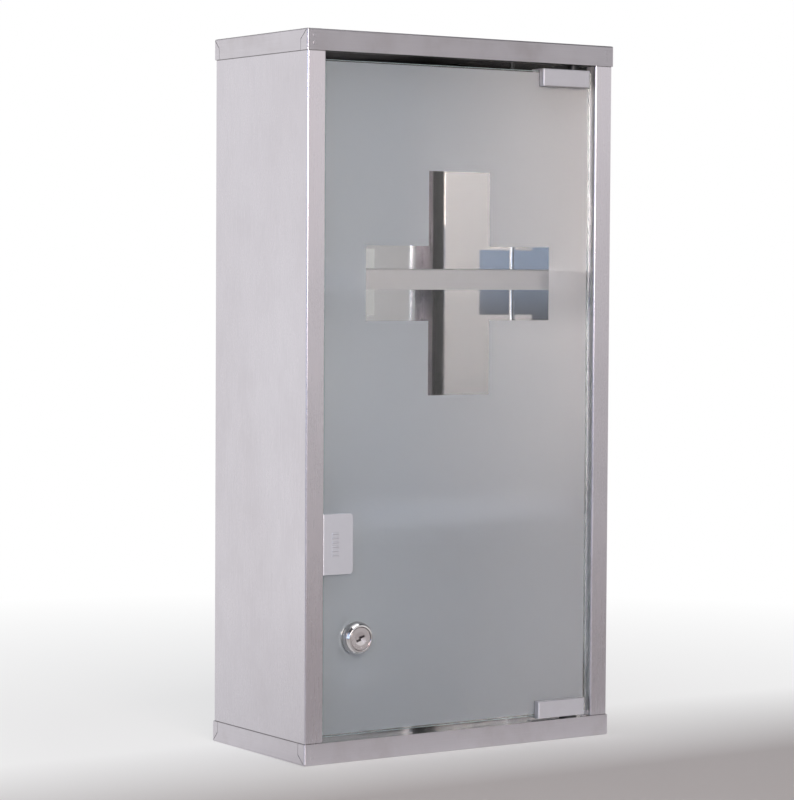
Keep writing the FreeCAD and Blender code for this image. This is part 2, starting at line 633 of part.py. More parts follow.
def make_lock():
    """Cam lock drawn along Y with zero on the front of the glass."""
    place = (LOCK_X, f"-{GLASS_FRONT}", "Sizes.lock_height")
    bezel_base = "-Sizes.gasket_thickness"
    bezel_rim = "-Sizes.bezel_proud"
    bore = "Sizes.plug_dia / 2"
    base_radius = f"({BARREL_RADIUS} + Sizes.bezel_flange)"
    rim_radius = f"({bore} + Sizes.bezel_rim_wall)"

    barrel = new_body("lock_barrel", *place)
    half = sketch_on(barrel, "XY_Plane")
    outline(half, [
        (bore, bezel_rim),
        (rim_radius, bezel_rim),
        (base_radius, f"{bezel_base} - Sizes.bezel_land"),
        (base_radius, bezel_base),
        (BARREL_RADIUS, bezel_base),
        (BARREL_RADIUS, BARREL_END),
        (bore, BARREL_END),
    ])
    turned(barrel, half)
    levels = (number(bezel_rim), number(f"{bezel_base} - Sizes.bezel_land"))
    widest = number(BARREL_RADIUS)

    def is_bezel(edge):
        box = edge.BoundBox
        on_level = any(near(box.YMin, y) and near(box.YMax, y) for y in levels)
        return on_level and box.XMax > widest + MATCH

    chamfer(barrel, "Sizes.bezel_bevel", is_bezel)

    seat_radius = f"({BARREL_RADIUS} + Sizes.seat_gap)"
    gasket = new_body("lock_gasket", *place)
    ring = sketch_on(gasket, "XY_Plane")
    rectangle(ring, seat_radius, bezel_base, base_radius, "0")
    turned(gasket, ring)

    washer = new_body("lock_washer", *place)
    ring = sketch_on(washer, "XY_Plane")
    rectangle(ring, seat_radius, "Sizes.glass_thickness", WASHER_RADIUS,
              "Sizes.glass_thickness + Sizes.washer_thickness")
    turned(washer, ring)

    nut = new_body("lock_nut", *place)
    seat = "(-Sizes.glass_thickness - Sizes.washer_thickness)"
    flats = sketch_on(nut, "XZ_Plane", f"{seat} - Sizes.nut_thickness")
    corner = f"(2 * ({BARREL_RADIUS} + Sizes.nut_wall) / sqrt(3))"
    outline(flats, [(f"{corner} * cos({60 * k} deg)", f"{corner} * sin({60 * k} deg)") for k in range(6)])
    circle(flats, "0", "0", seat_radius)
    pad(nut, flats, "Sizes.nut_thickness")

    plug = new_body("lock_plug", *place)
    half = sketch_on(plug, "XY_Plane")
    plug_radius = "(Sizes.plug_dia / 2 - Sizes.running_play)"
    plug_face = f"({bezel_rim} + Sizes.plug_recess)"
    outline(half, [
        ("0", f"{plug_face} + Sizes.plug_dimple_depth"),
        ("Sizes.plug_dimple_dia / 2", plug_face),
        (plug_radius, plug_face),
        (plug_radius, BARREL_END),
        ("0", BARREL_END),
    ])
    turned(plug, half)
    across = "Sizes.cam_square / 2"
    cam_front = f"({BARREL_END} + Sizes.thrust_gap)"
    square = sketch_on(plug, "XZ_Plane", f"-{BARREL_END}")
    rectangle(square, f"-{across}", f"-{across}", across, across)
    pad(plug, square, "Sizes.cam_gauge", reverse=True)
    thread = sketch_on(plug, "XZ_Plane", f"-{BARREL_END} - Sizes.cam_gauge")
    circle(thread, "0", "0", "Sizes.cam_screw_dia / 2 + Sizes.seat_gap")
    pocket(plug, thread, "Sizes.cam_screw_depth + Sizes.overrun", reverse=True)
    keyway = sketch_on(plug, "XZ_Plane", f"-{plug_face} + Sizes.overrun")
    outline(keyway, keyway_points())
    pocket(plug, keyway, "Sizes.keyway_depth + Sizes.overrun")

    cam = new_body("lock_cam", *place)
    blade = sketch_on(cam, "XZ_Plane", f"-{cam_front} - Sizes.cam_gauge")
    cam_half = "Sizes.cam_width / 2"
    rectangle(blade, f"-{cam_half}", "-Sizes.cam_length", cam_half, cam_half)
    hole = f"({across} + Sizes.seat_gap)"
    rectangle(blade, f"-{hole}", f"-{hole}", hole, hole)
    pad(cam, blade, "Sizes.cam_gauge")
    outer = number(cam_half)
    fillet(cam, "Sizes.cam_corner",
           lambda edge: runs_along(edge, "y") and near(abs(edge.BoundBox.XMin), outer))

    screw = new_body("cam_screw", *place)
    half = sketch_on(screw, "XY_Plane")
    head_seat = f"({cam_front} + Sizes.cam_gauge)"
    head_end = f"({head_seat} + Sizes.cam_screw_head)"
    shank = "Sizes.cam_screw_dia / 2"
    head = "Sizes.cam_screw_head_dia / 2"
    outline(half, [
        ("0", f"{head_seat} - Sizes.cam_screw_depth"),
        (shank, f"{head_seat} - Sizes.cam_screw_depth"),
        (shank, head_seat),
        (head, head_seat),
        (head, head_end),
        ("0", head_end),
    ])
    turned(screw, half)
    slot = sketch_on(screw, "XZ_Plane", f"-{head_end}")
    slot_half = "Sizes.cam_screw_slot / 2"
    rectangle(slot, f"-{head}", f"-{slot_half}", head, slot_half)
    pocket(screw, slot, "Sizes.cam_screw_head / 2", reverse=True)


def keyway_points():
    """Stepped keyway: two side wards that pass each other at the middle, tilted as it stands in the plug."""
    half_shares = [(-1.0, 0.0), (-1.0, -1.0), (0.15, -1.0), (0.15, 0.0)]
    ward_shares = half_shares + [(-along, -across) for along, across in half_shares]
    points = []
    for along, across in ward_shares:
        x = f"({along} * Sizes.keyway_length / 2)"
        z = f"({across} * Sizes.keyway_width)"
        tilt = "Sizes.keyway_tilt * 1 deg"
        points.append((f"{x} * cos({tilt}) - {z} * sin({tilt})", f"{x} * sin({tilt}) + {z} * cos({tilt})"))
    return points


def make_latch():
    """Push latch drawn along Y with zero at the tip of its plunger."""
    place = (LATCH_X, LATCH_TIP_Y, LATCH_Z)
    stem = "Sizes.latch_stem_dia / 2"
    collar = f"({CHAMBER_RADIUS} - Sizes.running_play)"
    collar_start = f"({CHAMBER_START} + Sizes.thrust_gap)"
    collar_end = f"({collar_start} + Sizes.latch_collar)"
    chamber_end = f"({LATCH_END} - Sizes.latch_cap_plug)"
    magnet_seat = "Sizes.magnet_dia / 2 + Sizes.seat_gap"

    housing = new_body("latch_housing", *place)
    half_width = "Sizes.latch_body_width / 2"
    half_height = "Sizes.latch_body_height / 2"
    nose = sketch_on(housing, "XZ_Plane", "-Sizes.latch_reach")
    rectangle(nose, f"-{half_width}", f"-{half_height}", half_width, half_height)
    pad(housing, nose, "Sizes.latch_body_length", reverse=True)
    ears = sketch_on(housing, "XZ_Plane", f"-{EAR_MIDDLE} + Sizes.ear_length / 2")
    rectangle(ears, f"-{EAR_SPAN} / 2", f"-{half_height}", f"{EAR_SPAN} / 2",
              f"-{half_height} + Sizes.ear_thickness")
    pad(housing, ears, "Sizes.ear_length", reverse=True)
    top = number(half_height)
    fillet(housing, "Sizes.latch_rounding",
           lambda edge: runs_along(edge, "y") and near(edge.BoundBox.ZMin, top))
    bore = sketch_on(housing, "XY_Plane")
    neck = f"({stem} + Sizes.running_play)"
    outline(bore, [
        ("0", "Sizes.latch_reach - Sizes.overrun"),
        (neck, "Sizes.latch_reach - Sizes.overrun"),
        (neck, CHAMBER_START),
        (CHAMBER_RADIUS, CHAMBER_START),
        (CHAMBER_RADIUS, f"{LATCH_END} + Sizes.overrun"),
        ("0", f"{LATCH_END} + Sizes.overrun"),
    ])
    turned(housing, bore, "PartDesign::Groove")
    screw_holes = sketch_on(housing, "XY_Plane", f"-{half_height} + Sizes.ear_thickness")
    for side in (-1, 1):
        circle(screw_holes, f"{side} * {EAR_SCREW_X}", EAR_MIDDLE,
               "Sizes.latch_screw_dia / 2 + Sizes.seat_gap")
    pocket(housing, screw_holes, "Sizes.ear_thickness + Sizes.overrun")

    plunger = new_body("latch_plunger", *place)
    half = sketch_on(plunger, "XY_Plane")
    guide = "Sizes.latch_guide_dia / 2"
    guide_end = f"({collar_end} + Sizes.latch_guide_length)"
    outline(half, [
        ("0", "Sizes.magnet_thickness"),
        (magnet_seat, "Sizes.magnet_thickness"),
        (magnet_seat, "0"),
        (stem, "0"),
        (stem, collar_start),
        (collar, collar_start),
        (collar, collar_end),
        (guide, collar_end),
        (guide, guide_end),
        ("0", guide_end),
    ])
    turned(plunger, half)

    magnet = new_body("latch_magnet", *place)
    disc = sketch_on(magnet, "XZ_Plane", "-Sizes.magnet_thickness")
    circle(disc, "0", "0", "Sizes.magnet_dia / 2")
    pad(magnet, disc, "Sizes.magnet_thickness")

    spring = new_body("latch_spring", *place)
    half = sketch_on(spring, "XY_Plane")
    spring_inside = f"({guide} + Sizes.running_play)"
    rectangle(half, spring_inside, collar_end, f"{spring_inside} + Sizes.latch_spring_wall", chamber_end)
    turned(spring, half)

    cap = new_body("latch_end_cap", *place)
    half = sketch_on(cap, "XY_Plane")
    cap_radius = f"({CHAMBER_RADIUS} - Sizes.seat_gap)"
    outline(half, [
        ("0", chamber_end),
        (cap_radius, chamber_end),
        (cap_radius, LATCH_END),
        (half_height, LATCH_END),
        (half_height, f"{LATCH_END} + Sizes.latch_cap_flange"),
        ("0", f"{LATCH_END} + Sizes.latch_cap_flange"),
    ])
    turned(cap, half)

    bracket = new_body("latch_bracket", y=LATCH_TIP_Y)
    angle = sketch_on(bracket, "XZ_Plane", f"-{EAR_MIDDLE} + Sizes.ear_length / 2")
    wall = f"-{INSIDE_HALF}"
    inner = f"({wall} + Sizes.bracket_gauge)"
    table_end = f"({LATCH_X} + {EAR_SPAN} / 2)"
    table_under = f"({BRACKET_TOP} - Sizes.bracket_gauge)"
    outline(angle, [
        (wall, f"{BRACKET_TOP} - Sizes.bracket_drop"),
        (inner, f"{BRACKET_TOP} - Sizes.bracket_drop"),
        (inner, table_under),
        (table_end, table_under),
        (table_end, BRACKET_TOP),
        (wall, BRACKET_TOP),
    ])
    pad(bracket, angle, "Sizes.ear_length", reverse=True)
    screw_holes = sketch_on(bracket, "XY_Plane", BRACKET_TOP)
    for side in (-1, 1):
        circle(screw_holes, f"{LATCH_X} + {side} * {EAR_SCREW_X}", EAR_MIDDLE,
               "Sizes.latch_screw_dia / 2 + Sizes.seat_gap")
    pocket(bracket, screw_holes, "2 * Sizes.bracket_gauge")

    places = []
    for side in (-1, 1):
        x = number(f"{side} * {EAR_SCREW_X}")
        places.append(FreeCAD.Vector(x, number(EAR_MIDDLE), number(f"-{half_height} + Sizes.ear_thickness")))
    group("latch_screws", make_pan_screw(), places, *place)


def make_pan_screw():
    """Slotted pan-head screw along Z, zero under its head."""
    radius = number("Sizes.latch_screw_dia / 2")
    head_radius = number("Sizes.latch_screw_head_dia / 2")
    head = number("Sizes.latch_screw_head")
    length = number("Sizes.ear_thickness + Sizes.bracket_gauge + Sizes.latch_screw_tail")
    shank = Part.makeCylinder(radius, length, FreeCAD.Vector(0, 0, -length))
    knob = Part.makeCylinder(head_radius, head)
    knob = knob.makeChamfer(head / 2, [edge for edge in knob.Edges if near(edge.BoundBox.ZMin, head)])
    slot_width = radius / 2
    slot_corner = FreeCAD.Vector(-head_radius, -slot_width / 2, head / 2)
    slot = Part.makeBox(2 * head_radius, slot_width, head, slot_corner)
    return knob.cut(slot).fuse(shank).removeSplitter()


make_side_panel("left_side_panel", -1)
make_side_panel("right_side_panel", 1)
make_back_panel()
make_cap("bottom_cap", "0", 0.0, 1)
make_cap("top_cap", "Sizes.case_height", 180.0, -1)
make_shelf("upper_shelf", "Sizes.case_height - Sizes.upper_shelf_drop")
make_shelf("lower_shelf", "Sizes.lower_shelf_height")
make_bushes()
make_door_glass()
make_frost_film()
make_clamp("upper", GLASS_TOP, 0.0, 1, f"(Sizes.door_top_gap - {CLAMP_CREST} + Sizes.pivot_reach)")
make_clamp("lower", GLASS_BOTTOM, 180.0, -1, f"(Sizes.door_bottom_gap - {CLAMP_CREST} + Sizes.pivot_reach)")
make_strike_clip()
make_lock()
make_latch()

doc.recompute()
for item in doc.Objects:
    if "Invalid" in item.State or "Error" in item.State:
        raise ValueError(f"{item.Label} did not build")
for part in parts:
    if part.Shape.isNull() or not part.Shape.isValid():
        raise ValueError(f"{part.Label} has no valid shape")

os.makedirs("parts", exist_ok=True)
for part in parts:
    part.Shape.exportStep(f"parts/{part.Label}.step")
    box = part.Shape.BoundBox
    spans = ((box.XMin, box.XMax), (box.YMin, box.YMax), (box.ZMin, box.ZMax))
    ranges = "  ".join(f"{axis} {low:.2f} {high:.2f}" for axis, (low, high) in zip("XYZ", spans))
    print(f"{part.Label:20s} {len(part.Shape.Solids)} solid  volume {part.Shape.Volume:10.1f}  {ranges}")
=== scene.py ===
"""Medicine cabinet: finishes for its solids, the pieces that Blender adds, the studio and the camera."""
import bmesh
import bpy
import math
from mathutils import Matrix, Vector


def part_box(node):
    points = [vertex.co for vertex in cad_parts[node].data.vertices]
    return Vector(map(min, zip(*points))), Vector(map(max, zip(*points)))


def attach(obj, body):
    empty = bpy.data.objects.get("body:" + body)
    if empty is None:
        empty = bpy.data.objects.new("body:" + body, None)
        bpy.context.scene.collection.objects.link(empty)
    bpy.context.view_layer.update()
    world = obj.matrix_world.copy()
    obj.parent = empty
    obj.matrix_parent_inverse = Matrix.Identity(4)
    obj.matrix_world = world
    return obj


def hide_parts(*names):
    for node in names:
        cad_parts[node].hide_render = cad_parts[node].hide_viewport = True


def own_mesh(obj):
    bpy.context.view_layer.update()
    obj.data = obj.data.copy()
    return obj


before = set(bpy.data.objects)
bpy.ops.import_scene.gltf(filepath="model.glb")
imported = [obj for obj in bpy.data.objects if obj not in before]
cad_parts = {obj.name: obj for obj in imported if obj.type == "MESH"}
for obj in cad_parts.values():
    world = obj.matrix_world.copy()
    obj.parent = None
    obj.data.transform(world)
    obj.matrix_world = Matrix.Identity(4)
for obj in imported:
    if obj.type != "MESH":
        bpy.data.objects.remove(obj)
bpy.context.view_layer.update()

MM = 0.001
ACROSS = Vector((1.0, 0.0, 0.0))
INWARD = Vector((0.0, 1.0, 0.0))
UP = Vector((0.0, 0.0, 1.0))
SHARP_ANGLE = math.radians(32.0)

# Camera, found by fitting the case's edges and the door's corners to the photograph.
CAMERA_PLACE = Vector((-1.08962, -1.61824, 0.32181))
CAMERA_LOOK = Vector((0.55297, 0.83200, -0.04471))
CAMERA_ROLL = math.radians(0.333)
CAMERA_LENS = 127.217
CAMERA_SENSOR = 36.0
CAMERA_NEAR = 0.01

# Sheet metal, hinge, lock and latch, as the solids have them.
SHEET = 0.8 * MM
STRIP_DEPTH = 14.0 * MM
CLAMP_CREST = 1.7 * MM
LOCK_NUT_WALL = 2.0 * MM
LOCK_HOLE_PLAY = 0.05 * MM

# Door pane, with its frosted face set in a little and left clear over the cross.
FROST_DEPTH = 0.06 * MM
GLASS_BEVEL = 0.4 * MM
FILM_MARGIN = 1.0 * MM
CROSS_SPAN = 150.0 * MM
CROSS_ARM = 50.0 * MM
CROSS_HEIGHT = 315.3 * MM
HOLE_SIDES = 64

# Lock bezel. The mouth and the flank's start are measured out from the bore and back from the front, the belly in
# from the base and back from the front.
PLUG_PLAY = 0.05 * MM
BEZEL_MOUTH = [(0.0, 1.5 * MM), (0.45 * MM, 1.2 * MM), (0.45 * MM, 0.1 * MM),
               (0.55 * MM, 0.0), (1.35 * MM, 0.0), (1.55 * MM, 0.1 * MM)]
BEZEL_FLANK = (1.7 * MM, 0.4 * MM)
BEZEL_BELLY = (0.35 * MM, 1.6 * MM)
BEZEL_LAND = 1.0 * MM
BEZEL_FLANGE = 2.0 * MM
BEZEL_STEPS = 8
BEZEL_SIDES = 96

# Latch spring.
SPRING_WIRE = 0.9 * MM
SPRING_TURNS = 13
SPRING_STEPS = 20
SPRING_SIDES = 8
SPRING_CLOSING = 0.11

# Hollow folds in the rear corners, ribs on the strike clip, and spot-weld marks, whose profile is in shares of their
# radius and rise.
FOLD_RADIUS = 2.6 * MM
FOLD_STEPS = 10
CLIP_RIBS = 6
CLIP_RIB_INSET = 9.6 * MM
CLIP_RIB_PITCH = 2.8 * MM
CLIP_RIB_HALF = (2.6 * MM, 0.75 * MM)
CLIP_RIB_PROUD = 0.35 * MM
CLIP_RIB_STEPS = 6
WELD_INSET = 6.0 * MM
WELD_HEIGHT_SHARES = (0.32, 0.68)
WELD_PROFILE = [(0.0, 0.35), (0.55, 0.45), (0.78, 1.0), (1.0, 0.0)]
WELD_RADIUS = 1.5 * MM
WELD_EYE = 0.02 * MM
WELD_RISE = 0.12 * MM
WELD_SIDES = 24

# Scales of the noise in the finishes, in marks per metre across, in and up.
TOOLED = (900.0, 900.0, 270.0)
BRUSHED = (25.0, 2400.0, 2400.0)
DULL_SPOTS = (70.0, 70.0, 70.0)
SHEET_STREAKS = {"Z": (2600.0, 2600.0, 30.0), "X": (30.0, 30.0, 2600.0)}
SHEET_CLOUDS = (9.0, 9.0, 5.0)
SHEET_WAVES = (14.0, 14.0, 9.0)
HANDLING = (42.0, 42.0, 30.0)
MOULD_SKIN = (2400.0, 2400.0, 2400.0)
MOULD_CLOUDS = (60.0, 60.0, 60.0)
GLASS_SMEARS = (18.0, 18.0, 40.0)
FROST_GRAIN = (3200.0, 3200.0, 3200.0)
FROST_CLOUDS = (11.0, 11.0, 11.0)
PAPER_FIBRES = (900.0, 900.0, 900.0)

# Where ramps start and end: over the usual reach of a noise, or over the whole of a share.
NOISE_SPAN = (0.3, 0.7)
SHARE_SPAN = (0.0, 1.0)

# Stainless sheet. The grain is the direction of brushing, by the axis that it follows.
GRAIN = {"Z": (0.02, 0.03, 1.0), "X": (1.0, 0.05, 0.02)}
SATIN_LIGHT = (0.690, 0.663, 0.706, 1.0)
SATIN_DARK = (0.628, 0.596, 0.634, 1.0)
STREAK_TONE = (0.54, 0.52, 0.535, 1.0)
STREAK_SHARE = 0.16
STREAK_ROUGHNESS = 0.04
SMUDGE_TONE = (0.50, 0.455, 0.455, 1.0)
SMUDGE_SPAN = (0.47, 0.72)
SMUDGE_ROUGHNESS = (-0.02, 0.04)
# Painted shade along the seam lines: a dark band on the panels at the caps' edges.
SEAM_SHADE_TONE = (0.16, 0.15, 0.15, 1.0)
SEAM_SHADE_SHARE = 0.75
SEAM_SHADE_WIDTH = 0.5 * MM
# Painted shade: near black on the backs of the caps' front skirts, seen through the gaps by the door.
SKIRT_BACK_SHADE = (0.035, 0.034, 0.035, 1.0)
RIPPLE_BUMP = {"strength": 0.05, "distance": 0.0006}
STREAK_BUMP = {"strength": 0.06, "distance": 0.00005}
PANEL_SHEET = {"roughness": 0.28, "stretch": 0.55, "inner": (0.425, 0.417, 0.411), "haze": 0.14}
BASE_SHEET = {"inner": (0.38, 0.374, 0.373), "inner_roughness": 0.20, "smudged": 0.30, "haze": 0.25}
# The roof's inside is near black: painted shade for the shade in the top of the case, seen through the gap above the
# door.
ROOF_SHEET = {"inner": (0.07, 0.069, 0.07), "inner_roughness": 0.44, "smudged": 0.30}

# Other metals.
WEAR_SPAN = (0.35, 0.75)
NEAR_BLACK_TONE = (0.06, 0.06, 0.062, 1.0)
MARK_ROUGHNESS = 0.02
MARK_DEPTH = 0.00004
CLAMP_METAL = {"name": "chrome_clamp", "colour": (0.67, 0.665, 0.705), "worn": (0.64, 0.635, 0.67),
               "roughness": 0.50, "spread": 0.05, "marks": BRUSHED, "groove": 0.010}
METALS = {
    "shelf": {"name": "bright_steel_shelf", "colour": (0.485, 0.482, 0.504), "worn": (0.475, 0.472, 0.494),
              "roughness": 0.46, "spread": 0.04, "marks": BRUSHED, "groove": 0.006, "haze": 0.12},
    "bracket": {"name": "bright_steel_bracket", "colour": (0.66, 0.655, 0.66), "worn": (0.58, 0.575, 0.58),
                "roughness": 0.22, "spread": 0.10},
    "corner": {"name": "bright_steel_fold", "colour": (0.78, 0.775, 0.78), "worn": (0.74, 0.735, 0.74),
               "roughness": 0.06, "spread": 0.03, "groove": 0.004},
    "lock": {"name": "chrome_lock", "colour": (0.84, 0.825, 0.83), "worn": (0.74, 0.72, 0.72),
             "roughness": 0.03, "spread": 0.04, "groove": 0.006},
    "plug": {"name": "chrome_plug", "colour": (0.76, 0.725, 0.735), "worn": (0.66, 0.625, 0.63),
             "roughness": 0.24, "spread": 0.08, "groove": 0.010},
    "clip": {"name": "plated_clip", "colour": (0.78, 0.79, 0.85), "worn": (0.74, 0.75, 0.81),
             "roughness": 0.36, "spread": 0.06},
    "zinc": {"name": "plated_steel", "colour": (0.62, 0.61, 0.58), "worn": (0.48, 0.47, 0.44),
             "roughness": 0.26, "spread": 0.14},
    "cam": {"name": "plated_cam", "colour": (0.42, 0.42, 0.43), "worn": (0.34, 0.34, 0.345),
            "roughness": 0.44, "spread": 0.08},
}

# Plastic and rubber.
FLOW_SHADE = 0.82
SKIN_ROUGHNESS = (-0.06, 0.08)
SKIN_BUMP = {"strength": 0.15, "distance": 0.00005}
MOULDINGS = {
    "black": {"name": "black_plastic", "colour": (0.028, 0.028, 0.030), "roughness": 0.42},
    "rubber": {"name": "grey_rubber", "colour": (0.20, 0.20, 0.205), "roughness": 0.66, "sheen": 0.15},
    "white": {"name": "white_plastic", "colour": (0.78, 0.77, 0.74), "roughness": 0.38},
}

# Glass, and its frosting, with a painted glow: paler and scattering more light back towards the top of the hinge
# side, painted light for the lamp light that the mirror-bright inside throws there. The glow's spans are in metres.
GLASS_IOR = 1.5
SMEAR_SPAN = (0.45, 0.8)
SMEAR_ROUGHNESS = 0.012
GLASSES = {
    "glass": {"name": "clear_glass", "tint": (0.955, 0.968, 0.966), "roughness": 0.0},
    "ground": {"name": "ground_glass_edge", "tint": (0.62, 0.84, 0.76), "roughness": 0.22},
}
FROST_PALE = (0.80, 0.88, 0.965, 1.0)
FROST_DEEP = (0.765, 0.845, 0.925, 1.0)
FROST_PAINTED_GLOW = (0.89, 0.88, 0.90, 1.0)
FROST_PASSES = (0.92, 0.965, 1.0, 1.0)
FROST_ROUGHNESS = (0.64, 0.70)
FROST_BUMP = {"strength": 0.10, "distance": 0.00003}
FROST_BLURRED_SHARE = 0.40
FROST_THROUGH_SHARES = (0.62, 0.40)
PAINTED_GLOW_ACROSS_SPAN = (-0.05, 0.10)
PAINTED_GLOW_UP_SPAN = (0.10, 0.36)
PAINTED_GLOW_LOW_SHARE = 0.42

# Which solids wear which finish. The solids that a piece of the scene replaces need none.
WEARS = {
    "panel": ["left_side_panel", "right_side_panel"],
    "base": ["bottom_cap"],
    "roof": ["top_cap"],
    "back": ["back_panel"],
    "shelf": ["upper_shelf", "lower_shelf"],
    "bracket": ["latch_bracket"],
    "clamp": ["upper_hinge_clamp", "lower_hinge_clamp"],
    "plug": ["lock_plug"],
    "clip": ["strike_clip"],
    "cam": ["lock_cam", "lock_nut"],
    "zinc": ["lock_washer", "cam_screw", "upper_clamp_screws", "lower_clamp_screws", "latch_screws",
             "latch_magnet"],
    "black": ["lower_pivot_bush", "upper_pivot_bush"],
    "rubber": ["lock_gasket", "upper_clamp_liner", "lower_clamp_liner"],
    "white": ["latch_housing", "latch_plunger", "latch_end_cap"],
}

# Studio, as light levels: white behind the cabinet, and in front of it a room that is brightest just above eye level,
# under a dark ceiling. Spans are cosines of the angle to a direction, and so are the heights of the room's levels.
WHITE = (1.0, 1.0, 1.0, 1.0)
BACKDROP_SIDE = Vector((0.12, 0.99, 0.0)).normalized()
BACKDROP_SPAN = (-0.45, 0.30)
ROOM_LEVELS = [(-0.35, 0.20), (-0.12, 0.36), (-0.01, 0.70), (0.08, 0.94), (0.22, 0.66), (0.60, 0.30)]
ROOM_LEFT_TINT = (1.10, 1.40, 2.00, 1.0)
ROOM_LEFT_LOW = (0.26, 0.27, 0.34, 1.0)
ROOM_LOW_SPAN = (-0.018, 0.004)
ROOM_RIGHT_TINT = (1.02, 1.0, 1.0, 1.0)
ROOM_RIGHT_SPAN = (-0.45, 0.35)
CEILING = (0.10, 0.10, 0.105, 1.0)
CEILING_SPAN = (0.35, 0.65)
LAMP_TARGET = Vector((0.0, 0.0, 0.26))
LAMPS = [
    {"name": "key_box", "place": Vector((-0.78, -2.10, 0.74)), "width": 1.2, "height": 0.7, "power": 30.0,
     "colour": (1.0, 0.86, 0.77)},
    {"name": "top_box", "place": Vector((0.0, -0.4, 2.1)), "width": 1.6, "height": 1.6, "power": 13.0,
     "colour": (1.0, 1.0, 1.0)},
]

# Floor, with its spans in metres.
FLOOR_RADIUS = 1.5
FLOOR_SIDES = 96
FLOOR_GAP = 0.4 * MM
PAPER_LIGHT = (0.84, 0.84, 0.84, 1.0)
PAPER_DARK = (0.80, 0.80, 0.80, 1.0)
# Painted shade: the paper in front of the cabinet is darker, so the steel's lower parts reflect a dark floor.
PAPER_FRONT_SHADE = (0.53, 0.505, 0.50, 1.0)
PAPER_BEHIND_SPAN = (-0.17, 0.05)
GLOW_SHARES = (0.62, 1.0)
GLOW_SPAN = (0.25, 0.9)


class Shader:
    """A material's node tree, with short calls for what the finishes share."""

    def __init__(self, name):
        self.material = bpy.data.materials.new(name)
        self.material.use_nodes = True
        self.tree = self.material.node_tree
        self.tree.nodes.clear()
        self.place = self.add("ShaderNodeTexCoord").outputs["Object"]

    def add(self, kind, inputs=None, **settings):
        node = self.tree.nodes.new(kind)
        for name, value in settings.items():
            setattr(node, name, value)
        for name, value in (inputs or {}).items():
            self.feed(node.inputs[name], value)
        return node

    def feed(self, socket, value):
        if isinstance(value, bpy.types.NodeSocket):
            self.tree.links.new(value, socket)
        else:
            socket.default_value = value

    def math(self, operation, first, second):
        return self.add("ShaderNodeMath", {0: first, 1: second}, operation=operation).outputs[0]

    def axes(self):
        return self.add("ShaderNodeSeparateXYZ", {"Vector": self.place}).outputs

    def noise(self, scale, detail=3.0, roughness=0.5):
        """Noise over the piece's own place, with a scale for each axis in marks per metre."""
        mapping = self.add("ShaderNodeMapping", {"Vector": self.place, "Scale": scale})
        spots = {"Vector": mapping.outputs[0], "Scale": 1.0, "Detail": detail, "Roughness": roughness}
        return self.add("ShaderNodeTexNoise", spots).outputs[0]

    def ramp(self, value, low, high, span=NOISE_SPAN):
        limits = {"Value": value, "From Min": span[0], "From Max": span[1], "To Min": low, "To Max": high}
        return self.add("ShaderNodeMapRange", limits).outputs[0]

    def blend(self, share, first, second):
        """A mix of two colours."""
        node = self.add("ShaderNodeMix", data_type="RGBA")
        self.feed(node.inputs[0], share)
        self.feed(node.inputs[6], first)
        self.feed(node.inputs[7], second)
        return node.outputs[2]

    def bump(self, height, strength, distance):
        depth = {"Height": height, "Strength": strength, "Distance": distance}
        return self.add("ShaderNodeBump", depth).outputs[0]

    def mix(self, share, first, second):
        """A mix of two shaders."""
        return self.add("ShaderNodeMixShader", {0: share, 1: first, 2: second}).outputs[0]

    def finish(self, surface):
        self.add("ShaderNodeOutputMaterial", {"Surface": surface})
        return self.material


def beyond(shader, limits):
    """1 where the place lies past one of the limits, each an axis letter, a sign and a distance."""
    axes = shader.axes()
    outside = None
    for axis, sign, distance in limits:
        signed = shader.math("MULTIPLY", axes[axis], float(sign))
        past = shader.math("GREATER_THAN", signed, distance)
        outside = past if outside is None else shader.math("MAXIMUM", outside, past)
    return outside


